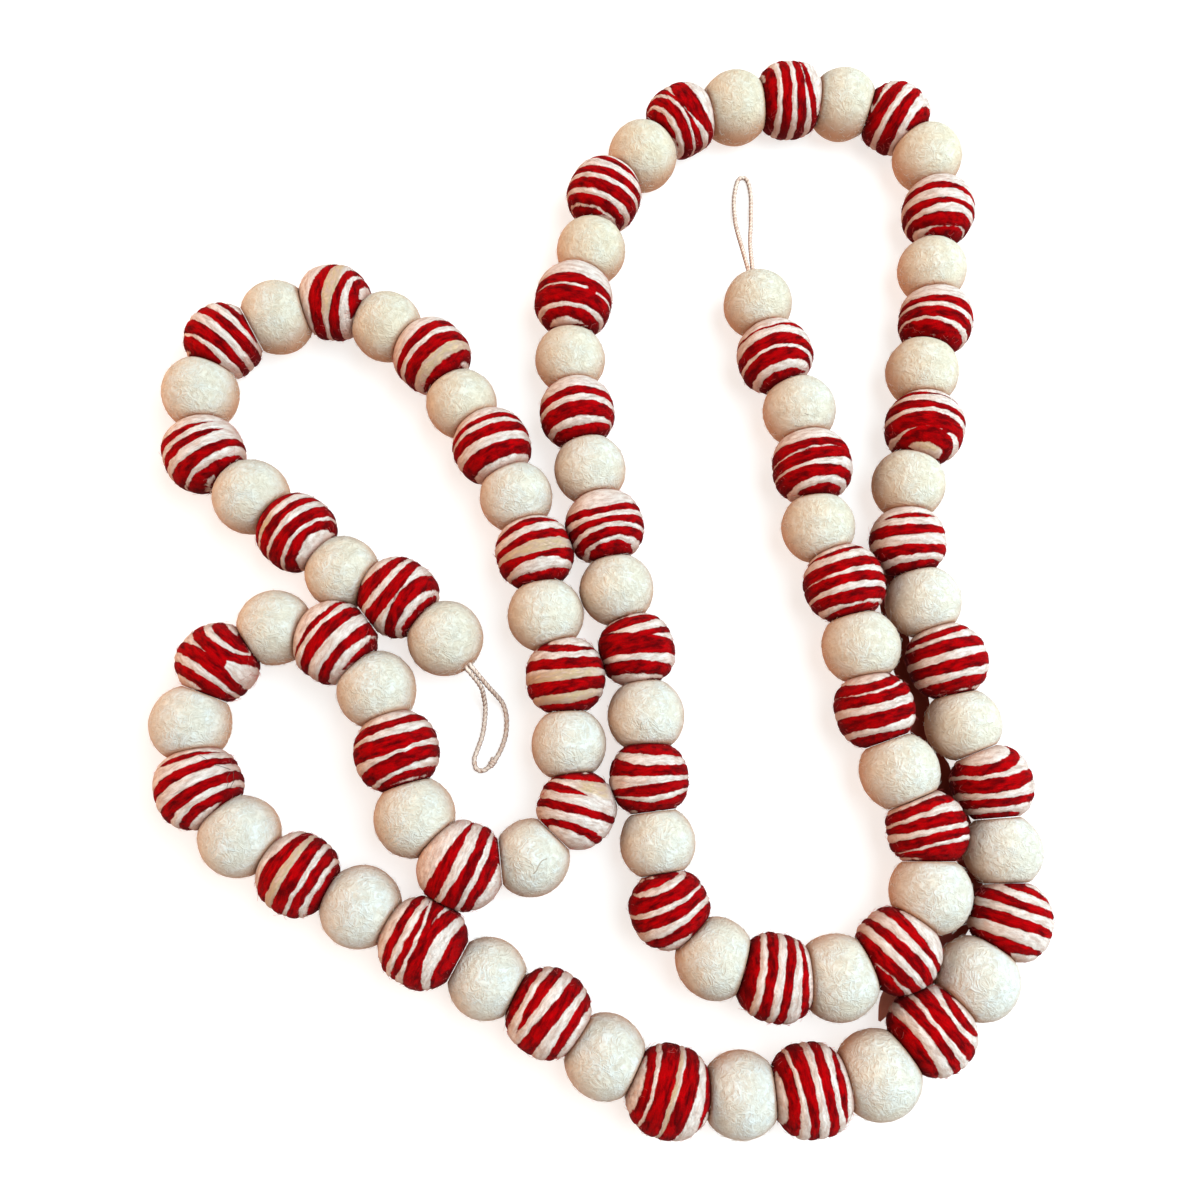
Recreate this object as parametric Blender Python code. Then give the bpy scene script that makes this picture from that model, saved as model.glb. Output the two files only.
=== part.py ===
"""A garland of felted wool balls on a thin cotton string, lying in loose bends.

Plain white balls and balls with wound red stripes take turns along the string.
They are threaded so tightly that each one is pressed flat against the next.
Where two stretches of the garland lie side by side, their balls press flat too.
Every ball has a small flat spot where it rests.
A hanging loop of the same string comes out of each end.

Metres, +Z up, standing on z = 0. +X is to the right and +Y runs away from
somebody who looks at the garland from the photographed side.
The string's hidden run through the balls isn't modelled.
"""
import math

import bpy
from mathutils import Vector

MM = 0.001

# How deep a ball's resting spot is pressed in, and the gap between pieces that touch
FLAT_DEPTH = 0.75 * MM
GAP = 0.3 * MM

# How much a striped ball stands out from a sphere at its shoulders, where the
# wound wool is thickest, a way in from its contact faces
SHOULDER = 0.7 * MM

# How finely a ball is faceted, round the string and from one contact face to the next
FACETS_AROUND = 14
BANDS = 5
END_BANDS = 7

# The pad round the string where it leaves an end ball
PAD_RADIUS = 2.1 * MM
START_PAD_RISE = math.radians(4)
START_PAD_TURN = math.radians(-4)
END_PAD_RISE = math.radians(6)
END_PAD_TURN = math.radians(-10)

# String
STRING_DIAMETER = 1.3 * MM
STRING_STEP = 2.6 * MM
STRAIGHT_RUN = 1.4 * MM
LEG_SPACING = 1.75 * MM
KNOT_SWELL = 1.6

# One row for each white ball and the striped ball that follows it, in millimetres:
# the white ball's centre in x and y, how far the striped ball stands to the left
# of the straight line from this white ball to the next one, and the radii of both
PAIRS = (
    (57.5, 90.5, -1.5, 12.2, 13.4), (72.5, 49, 1, 12.6, 13.7), (79, 6, 1.5, 12.4, 13.6),
    (93, -35.5, -2, 12.8, 13), (105, -76.5, 4, 12.7, 12.9), (114, -114.5, 6, 12.8, 13.2),
    (84, -141, 3, 13, 13.4), (46, -137, 6, 12.4, 12.6), (27, -102.5, 1, 12, 12.8),
    (22, -62, -2, 12.5, 12.7), (10.5, -19.5, -0.5, 12.4, 13.3), (-0.5, 23.5, 1, 12.3, 13.1),
    (-9.5, 65, 2.5, 12.3, 14), (-4, 109, 5.5, 12.4, 13.6), (13.5, 150, 5.5, 12.7, 13.3),
    (48, 172.5, 2, 13.3, 13.9), (89, 176.5, 7, 13, 12.9), (121, 155, 3, 12.6, 13.2),
    (121.5, 107.5, 3, 12.2, 13), (116.5, 66, 3, 12.6, 13.6), (110.5, 23, -3, 12.4, 12.8),
    (114.5, -19, 1, 12.4, 13.2), (126.5, -60, 3, 12.1, 12.9), (137.5, -100, 6.5, 12.2, 12.8),
    (127.5, -139.5, 1.5, 12.8, 13.3), (96, -168.5, 1.5, 13.1, 13.5), (54.5, -176, 4.5, 12.5, 13.5),
    (13, -167, -1.5, 12.4, 13.2), (-24.5, -146, 0, 12.2, 13.9), (-65.5, -126.5, 1, 12.6, 12.9),
    (-106, -106.5, 5.5, 12.8, 13.6), (-126.5, -71.5, 6.5, 12.8, 13.2), (-103, -38, 6, 12.4, 13.8),
    (-67, -57.5, 0.5, 12.8, 13.7), (-51, -98, -9.5, 12.9, 13.9), (-13, -109, -9, 12.1, 12.7),
    (-3, -72.5, -3, 12.1, 13.2), (-13, -29.5, -1.5, 12.6, 13.2), (-25.5, 12, -1.5, 12.4, 13.5),
    (-47, 46, -4, 12.2, 13.4), (-76, 74.5, -7.5, 12.4, 13.3), (-115.5, 76, -7.5, 12.9, 13.4),
    (-139, 45, -8, 13, 13.6), (-116.5, 7.5, 0.5, 12.8, 13.3), (-82.5, -18, 3, 12.4, 13.5),
    (-46, -39, 0, 12.5, 0),
)

# The hanging loops, in millimetres: x, y and height of points along the string,
# from where it has left the end ball's pad to where it comes back to it
START_LOOP = (
    (52.1, 115.1, 8.2), (50.3, 127.9, 3), (49.7, 137, 1.1), (49.8, 143, 0.8),
    (51, 149.2, 0.8), (52.9, 150.7, 0.8), (54.8, 149.1, 0.8), (56.1, 143, 0.8),
    (56.2, 136, 1.2), (55.9, 128.2, 3), (55.4, 121.4, 5.3), (55.2, 114.5, 8.3),
)
END_LOOP = (
    (-33.4, -54.1, 8.5), (-32.4, -57.3, 5), (-31.9, -60.5, 2.2), (-32, -65.5, 0.9),
    (-32.4, -69.7, 0.8), (-33.7, -74.4, 0.8), (-34.5, -77.5, 0.8), (-33.7, -80.6, 0.8),
    (-31.6, -81.3, 0.9), (-29.8, -80.3, 1.2), (-28.4, -78.6, 1.3), (-26.8, -76.2, 1),
    (-25.3, -72.3, 0.8), (-24.5, -68.1, 0.8), (-24.7, -63, 0.9), (-26.1, -58.7, 2),
    (-28.4, -56.2, 4.4), (-31.2, -53.7, 8),
)
KNOT_POINT = 10


def clear_scene():
    """Remove whatever the scene holds."""
    for item in list(bpy.data.objects):
        bpy.data.objects.remove(item, do_unlink=True)


def make_material(name, color, roughness):
    """A plain cloth material."""
    material = bpy.data.materials.new(name)
    material.use_nodes = True
    shader = material.node_tree.nodes["Principled BSDF"]
    shader.inputs["Base Color"].default_value = (*color, 1)
    shader.inputs["Roughness"].default_value = roughness
    shader.inputs["Metallic"].default_value = 0
    return material


def rest(x, y, radius):
    """A ball at rest, as its centre and radius in metres."""
    return Vector((x * MM, y * MM, radius * MM - FLAT_DEPTH)), radius * MM


def ball_places():
    """Centre and radius of every ball, in the order in which they are threaded."""
    places = []
    for row, (x, y, bow, white_radius, striped_radius) in enumerate(PAIRS):
        places.append(rest(x, y, white_radius))
        if row + 1 < len(PAIRS):
            ahead_x, ahead_y = PAIRS[row + 1][:2]
            span = math.hypot(ahead_x - x, ahead_y - y)
            left_x = -(ahead_y - y) / span
            left_y = (ahead_x - x) / span
            middle_x = (x + ahead_x) / 2 + bow * left_x
            middle_y = (y + ahead_y) / 2 + bow * left_y
            places.append(rest(middle_x, middle_y, striped_radius))
    return places


def ring(ball, forward, distance, swell):
    """Circle of points cut from a ball by a plane across forward, moved out by swell."""
    centre, radius = ball
    side = Vector((0, 0, 1)).cross(forward).normalized()
    up = forward.cross(side)
    reach = math.sqrt(radius ** 2 - distance ** 2) + swell
    points = []
    for step in range(FACETS_AROUND):
        # Half a step of turn puts a level pair of points at the bottom, for the flat spot
        angle = 2 * math.pi * (step + 0.5) / FACETS_AROUND
        offset = side * math.sin(angle) - up * math.cos(angle)
        points.append(centre + forward * distance + offset * reach)
    return points


def meeting_distance(ball, other):
    """How far from a ball's centre the flat face lies where it meets the other ball."""
    span = (other[0] - ball[0]).length
    return (span ** 2 + ball[1] ** 2 - other[1] ** 2) / (2 * span)


def shoulder_shape(share):
    """0 at a ball's middle and at its contact face, and 1 at two thirds of the way."""
    return 6.75 * share ** 2 * (1 - share)


def sweep(ball, entry, leave, bands, shoulder):
    """Rings over a ball from one cut to the other, each cut a direction and a distance."""
    radius = ball[1]
    start = math.asin(entry[1] / radius)
    stop = math.asin(leave[1] / radius)
    rings = []
    for band in range(bands + 1):
        share = band / bands
        forward = entry[0].slerp(leave[0], share)
        distance = radius * math.sin(start + (stop - start) * share)
        contact = entry[1] if distance < 0 else leave[1]
        rings.append(ring(ball, forward, distance, shoulder * shoulder_shape(distance / contact)))
    return rings


def press(points, ball, pressed_by):
    """Flatten a ball's points where it rests and where neighbours beside it press."""
    centre = ball[0]
    flattened = []
    for point in points:
        for other in pressed_by:
            toward = (other[0] - centre).normalized()
            depth = (point - centre).dot(toward) - (meeting_distance(ball, other) - GAP / 2)
            if depth > 0:
                point = point - toward * depth
        flattened.append(Vector((point.x, point.y, max(point.z, 0))))
    return flattened


def beside(places, index):
    """The balls of other stretches that touch this one."""
    centre, radius = places[index]
    near = []
    for other, (spot, size) in enumerate(places):
        apart = abs(other - index) > 1
        if apart and (spot - centre).length < radius + size + 2 * SHOULDER + GAP:
            near.append((spot, size))
    return near


def pad_direction(ball, inner_neighbour, turn, rise):
    """Direction in which the string leaves an end ball, turned to the left and tipped up."""
    away = ball[0] - inner_neighbour[0]
    heading = math.atan2(away.y, away.x) + turn
    level = Vector((math.cos(heading), math.sin(heading), 0))
    return level * math.cos(rise) + Vector((0, 0, 1)) * math.sin(rise)


def start_pad(places):
    """Direction of the string at the first ball."""
    return pad_direction(places[0], places[1], START_PAD_TURN, START_PAD_RISE)


def end_pad(places):
    """Direction of the string at the last ball."""
    return pad_direction(places[-1], places[-2], END_PAD_TURN, END_PAD_RISE)


def pad_distance(ball):
    """How far from an end ball's centre its string pad lies."""
    return math.sqrt(ball[1] ** 2 - PAD_RADIUS ** 2)


def entry_cut(places, index):
    """Cut at the start side of a ball: the way the garland runs, and a signed distance."""
    ball = places[index]
    if index == 0:
        return -start_pad(places), -pad_distance(ball)
    forward = (ball[0] - places[index - 1][0]).normalized()
    return forward, -meeting_distance(ball, places[index - 1])


def leaving_cut(places, index):
    """Cut at the far side of a ball."""
    ball = places[index]
    if index + 1 == len(places):
        return end_pad(places), pad_distance(ball)
    forward = (places[index + 1][0] - ball[0]).normalized()
    return forward, meeting_distance(ball, places[index + 1])


def piece_rings(places, members):
    """All rings of one piece, from end to end. Inside it two balls share a ring."""
    rings = []
    for index in members:
        forward_in, distance_in = entry_cut(places, index)
        forward_out, distance_out = leaving_cut(places, index)
        if index == members[0] and index > 0:
            distance_in += GAP / 2
        if index == members[-1] and index + 1 < len(places):
            distance_out -= GAP / 2
        at_an_end = index in (0, len(places) - 1)
        striped = index % 2 == 1
        swept = sweep(places[index], (forward_in, distance_in), (forward_out, distance_out),
                      END_BANDS if at_an_end else BANDS, SHOULDER if striped else 0)
        pressed_by = beside(places, index)
        swept[1:-1] = [press(row, places[index], pressed_by) for row in swept[1:-1]]
        rings += swept[1:] if rings else swept
    return rings


def make_piece(name, places, members, material):
    """One closed solid of one ball or two, with its origin at its first ball's centre."""
    origin = places[members[0]][0]
    rings = piece_rings(places, members)
    points = [point - origin for row in rings for point in row]
    around = FACETS_AROUND
    faces = [tuple(reversed(range(around)))]
    for row in range(len(rings) - 1):
        for step in range(around):
            near = row * around + step
            beyond = row * around + (step + 1) % around
            faces.append((near, beyond, beyond + around, near + around))
    faces.append(tuple(range((len(rings) - 1) * around, len(rings) * around)))
    mesh = bpy.data.meshes.new(name)
    mesh.from_pydata(points, [], faces)
    mesh.validate()
    mesh.shade_smooth()
    mesh.set_sharp_from_angle(angle=math.radians(40))
    mesh.materials.append(material)
    piece = bpy.data.objects.new(name, mesh)
    piece.location = origin
    bpy.context.collection.objects.link(piece)
    return piece


def loop_points(ball, outward, first_leg_side, table):
    """Points of a loop that leaves a ball's pad by one leg and comes back by the other."""
    side = Vector((0, 0, 1)).cross(outward).normalized() * first_leg_side
    start = ball[0] + outward * (pad_distance(ball) + GAP)
    leaving = [start + side * LEG_SPACING / 2, start + side * LEG_SPACING / 2 + outward * STRAIGHT_RUN]
    back = [point - side * LEG_SPACING for point in reversed(leaving)]
    return leaving + [Vector(point) * MM for point in table] + back


def smooth_route(points, step):
    """Evenly spaced points of a Catmull-Rom curve through the given points."""
    knots = [points[0] * 2 - points[1], *points, points[-1] * 2 - points[-2]]
    fine = []
    pieces = 24
    for a, b, c, d in zip(knots, knots[1:], knots[2:], knots[3:]):
        for part in range(pieces):
            t = part / pieces
            fine.append((b * 2 + (c - a) * t + (a * 2 - b * 5 + c * 4 - d) * t ** 2
                         + (b * 3 - a - c * 3 + d) * t ** 3) / 2)
    fine.append(knots[-2])
    lengths = [0]
    for near, beyond in zip(fine, fine[1:]):
        lengths.append(lengths[-1] + (beyond - near).length)
    count = max(2, round(lengths[-1] / step))
    route = []
    place = 0
    for number in range(count + 1):
        wanted = lengths[-1] * number / count
        while place < len(lengths) - 2 and lengths[place + 1] < wanted:
            place += 1
        share = (wanted - lengths[place]) / (lengths[place + 1] - lengths[place])
        route.append(fine[place].lerp(fine[place + 1], min(share, 1)))
    return route


def make_string(name, points, material, knot=None):
    """A round string along a route, thicker at its knot if it has one."""
    route = smooth_route(points, STRING_STEP)
    curve = bpy.data.curves.new(name, "CURVE")
    curve.dimensions = "3D"
    curve.bevel_depth = STRING_DIAMETER / 2
    curve.bevel_resolution = 2
    curve.use_fill_caps = True
    spline = curve.splines.new("POLY")
    spline.points.add(len(route) - 1)
    for slot, point in zip(spline.points, route):
        slot.co = (*point, 1)
    if knot is not None:
        tied = Vector(knot) * MM
        nearest = min(range(len(route)), key=lambda number: (route[number] - tied).length)
        spline.points[nearest].radius = KNOT_SWELL
    curve.materials.append(material)
    string = bpy.data.objects.new(name, curve)
    bpy.context.collection.objects.link(string)
    return string


def main():
    clear_scene()
    felt = make_material("wool_felt", (0.72, 0.50, 0.44), 0.95)
    white = make_material("white_felt", (0.86, 0.80, 0.70), 0.95)
    cotton = make_material("cotton_string", (0.80, 0.66, 0.53), 0.9)
    places = ball_places()
    for row in range(len(PAIRS) - 1):
        make_piece(f"ball_pair_{row + 1:02d}", places, (2 * row, 2 * row + 1), felt)
    make_piece("end_ball", places, (len(places) - 1,), white)
    make_string("start_loop", loop_points(places[0], start_pad(places), 1, START_LOOP), cotton)
    make_string("end_loop", loop_points(places[-1], end_pad(places), -1, END_LOOP), cotton,
                knot=END_LOOP[KNOT_POINT])


main()
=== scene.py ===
"""The looks of a garland of felted wool balls on a thin cotton string.

Every ball is its own fine mesh, on the same centre and with the same flats as in
the CAD. Plain balls are matted off-white wool. Striped balls are wound with red
and cream rovings, whose places are charted ball by ball. Lengths in the tables
are in millimetres and angles in degrees. Everything else is in metres.
"""
import math

import bpy
import numpy as np
from mathutils import Matrix, Vector, noise
from mathutils.bvhtree import BVHTree


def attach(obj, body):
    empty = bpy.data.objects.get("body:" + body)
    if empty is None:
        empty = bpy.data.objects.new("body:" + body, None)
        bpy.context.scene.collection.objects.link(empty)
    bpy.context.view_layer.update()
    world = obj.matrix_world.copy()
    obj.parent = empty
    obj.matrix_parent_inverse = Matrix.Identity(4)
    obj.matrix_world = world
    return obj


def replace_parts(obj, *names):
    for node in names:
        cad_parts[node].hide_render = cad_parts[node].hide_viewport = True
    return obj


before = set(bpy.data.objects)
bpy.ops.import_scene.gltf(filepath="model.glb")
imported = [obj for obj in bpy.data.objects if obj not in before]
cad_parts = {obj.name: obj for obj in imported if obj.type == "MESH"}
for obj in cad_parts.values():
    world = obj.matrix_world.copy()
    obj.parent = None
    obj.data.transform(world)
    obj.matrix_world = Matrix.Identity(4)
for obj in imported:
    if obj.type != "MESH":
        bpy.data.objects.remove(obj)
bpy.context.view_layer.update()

MM = 0.001
UP = np.array((0.0, 0.0, 1.0))

# The same sizes as in the CAD, but for the shoulders, which its flat facets make
# up for there, and the loops' legs, which leave the balls 0.15 mm closer together
FLAT_DEPTH = 0.75 * MM
GAP = 0.3 * MM
SHOULDER = 0.4 * MM
PAD_RADIUS = 2.1 * MM
START_PAD_RISE = math.radians(4)
START_PAD_TURN = math.radians(-4)
END_PAD_RISE = math.radians(6)
END_PAD_TURN = math.radians(-10)
STRAIGHT_RUN = 1.4 * MM
LEG_SPACING = 1.6 * MM

# One row for each white ball and the striped ball that follows it: the white
# ball's centre in x and y, how far the striped ball stands to the left of the
# straight line from this white ball to the next one, and the radii of both
PAIRS = (
    (57.5, 90.5, -1.5, 12.2, 13.4), (72.5, 49, 1, 12.6, 13.7), (79, 6, 1.5, 12.4, 13.6),
    (93, -35.5, -2, 12.8, 13), (105, -76.5, 4, 12.7, 12.9), (114, -114.5, 6, 12.8, 13.2),
    (84, -141, 3, 13, 13.4), (46, -137, 6, 12.4, 12.6), (27, -102.5, 1, 12, 12.8),
    (22, -62, -2, 12.5, 12.7), (10.5, -19.5, -0.5, 12.4, 13.3), (-0.5, 23.5, 1, 12.3, 13.1),
    (-9.5, 65, 2.5, 12.3, 14), (-4, 109, 5.5, 12.4, 13.6), (13.5, 150, 5.5, 12.7, 13.3),
    (48, 172.5, 2, 13.3, 13.9), (89, 176.5, 7, 13, 12.9), (121, 155, 3, 12.6, 13.2),
    (121.5, 107.5, 3, 12.2, 13), (116.5, 66, 3, 12.6, 13.6), (110.5, 23, -3, 12.4, 12.8),
    (114.5, -19, 1, 12.4, 13.2), (126.5, -60, 3, 12.1, 12.9), (137.5, -100, 6.5, 12.2, 12.8),
    (127.5, -139.5, 1.5, 12.8, 13.3), (96, -168.5, 1.5, 13.1, 13.5), (54.5, -176, 4.5, 12.5, 13.5),
    (13, -167, -1.5, 12.4, 13.2), (-24.5, -146, 0, 12.2, 13.9), (-65.5, -126.5, 1, 12.6, 12.9),
    (-106, -106.5, 5.5, 12.8, 13.6), (-126.5, -71.5, 6.5, 12.8, 13.2), (-103, -38, 6, 12.4, 13.8),
    (-67, -57.5, 0.5, 12.8, 13.7), (-51, -98, -9.5, 12.9, 13.9), (-13, -109, -9, 12.1, 12.7),
    (-3, -72.5, -3, 12.1, 13.2), (-13, -29.5, -1.5, 12.6, 13.2), (-25.5, 12, -1.5, 12.4, 13.5),
    (-47, 46, -4, 12.2, 13.4), (-76, 74.5, -7.5, 12.4, 13.3), (-115.5, 76, -7.5, 12.9, 13.4),
    (-139, 45, -8, 13, 13.6), (-116.5, 7.5, 0.5, 12.8, 13.3), (-82.5, -18, 3, 12.4, 13.5),
    (-46, -39, 0, 12.5, 0),
)

# The hanging loops: x, y and height of points along the string, from where it
# has left the end ball's pad to where it comes back to it
START_LOOP = (
    (52.1, 115.1, 8.2), (50.3, 127.9, 3), (49.7, 137, 1.1), (49.8, 143, 0.8),
    (51, 149.2, 0.8), (52.9, 150.7, 0.8), (54.8, 149.1, 0.8), (56.1, 143, 0.8),
    (56.2, 136, 1.2), (55.9, 128.2, 3), (55.4, 121.4, 5.3), (55.2, 114.5, 8.3),
)
END_LOOP = (
    (-33.4, -54.1, 8.5), (-32.4, -57.3, 5), (-31.9, -60.5, 2.2), (-32, -65.5, 0.9),
    (-32.4, -69.7, 0.8), (-33.7, -74.4, 0.8), (-34.5, -77.5, 0.8), (-33.7, -80.6, 0.8),
    (-31.6, -81.3, 0.9), (-29.8, -80.3, 1.2), (-28.4, -78.6, 1.3), (-26.8, -76.2, 1),
    (-25.3, -72.3, 0.8), (-24.5, -68.1, 0.8), (-24.7, -63, 0.9), (-26.1, -58.7, 2),
    (-28.4, -56.2, 4.4), (-31.2, -53.7, 8),
)
KNOT_POINT = 10

# The knot's cord winds round the string, with this many points for each turn, and
# its cut end sticks out
KNOT_RING = 0.75 * MM
KNOT_CORD_RADIUS = 0.5 * MM
KNOT_TURNS = 2.5
KNOT_PITCH = 0.9 * MM
KNOT_STEPS = 10
KNOT_STUB = ((-0.6, 0.5, 0.1), (-1.1, 0.9, -0.1))

# The cut end of string beside the start loop, from the first ball's centre
STUB_RADIUS = 0.4 * MM
START_STUB = ((-2.6, 9.5, 1), (-3.4, 12.4, 1.2), (-3.5, 14.6, 1.6))

# Dark hairs and specks caught in the wool: ball, thickness, then points along the
# hair, as how far to the right and away from the viewer of the ball's centre
STRAY_HAIRS = (
    (62, 0.17, (2.4, 9.2), (3.7, 8.7), (5, 8)),
    (62, 0.2, (7.3, 6.5), (8.7, 6.3), (9.9, 6), (11.2, 5.6)),
    (62, 0.2, (11.5, 4.5), (11.3, 2.5), (11.7, 1), (11.6, -0.3)),
    (62, 0.2, (12, 5), (12.5, 3.2), (12.6, 1.6), (12.3, -0.1)),
)

# How far apart the points along a hair or pucker are, and how many sides it has
HAIR_STEP = 0.3 * MM
HAIR_AROUND = 5

# Greyish puckers in the plain wool, in the same columns as the hairs
PUCKERS = (
    (3, 0.6, (-2.8, -9.1), (-1.4, -9.4), (-0.1, -9)),
    (3, 0.5, (-0.2, -5.8), (1.2, -6.3)),
    (19, 0.5, (-3.2, -3.5), (-2.7, -4.7)),
    (19, 0.5, (-1.8, -3.7), (-2.2, -4.9), (-1.8, -6.1)),
    (71, 0.6, (5.3, -0.3), (3.8, -1.1), (2.8, -2.7), (2.4, -3.9), (1.4, -5)),
)

# The dark gap between the two stretches on the right, as points on the floor in x
# and y, and the paler shade where it opens at its lower end. Then, for both strips,
# their width, the length over which each end tapers, the distance between points,
# and the share of the width that is left at a tip.
SHADED_GAP = (
    (97.5, 1.5), (105, -8.5), (107.5, -21.5), (110.5, -38), (114.5, -48), (116, -58), (117.5, -68),
    (121.5, -73.5), (123, -79.5), (128.5, -93.5), (131, -108), (128.5, -119), (122.5, -129),
    (118.5, -136.5), (108.5, -144.5),
)
PALER_GAP = ((118.5, -136.5), (108.5, -144.5), (103, -149), (100, -154.5))
SHADE_WIDTH = 8 * MM
SHADE_END = 9 * MM
SHADE_STEP = 2 * MM
SHADE_TIP = 0.1

# Loose fibres that stand off the sides of the balls, where the outward direction
# rises or falls by less than FIBRE_TOP. The last four are how far a fibre bends
# sideways, how many half turns it lifts through, how many sides it has, and where
# along it its points are.
FIBRES_PER_BALL = 100
FIBRE_TOP = 0.45
FIBRE_RADIUS = 0.045 * MM
FIBRE_LENGTH = 2.6 * MM
FIBRE_LIFT = 0.55 * MM
FIBRE_BEND = 0.3
FIBRE_CURL = 0.75
FIBRE_AROUND = 3
FIBRE_SHARES = (0, 0.35, 0.7, 1)

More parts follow.
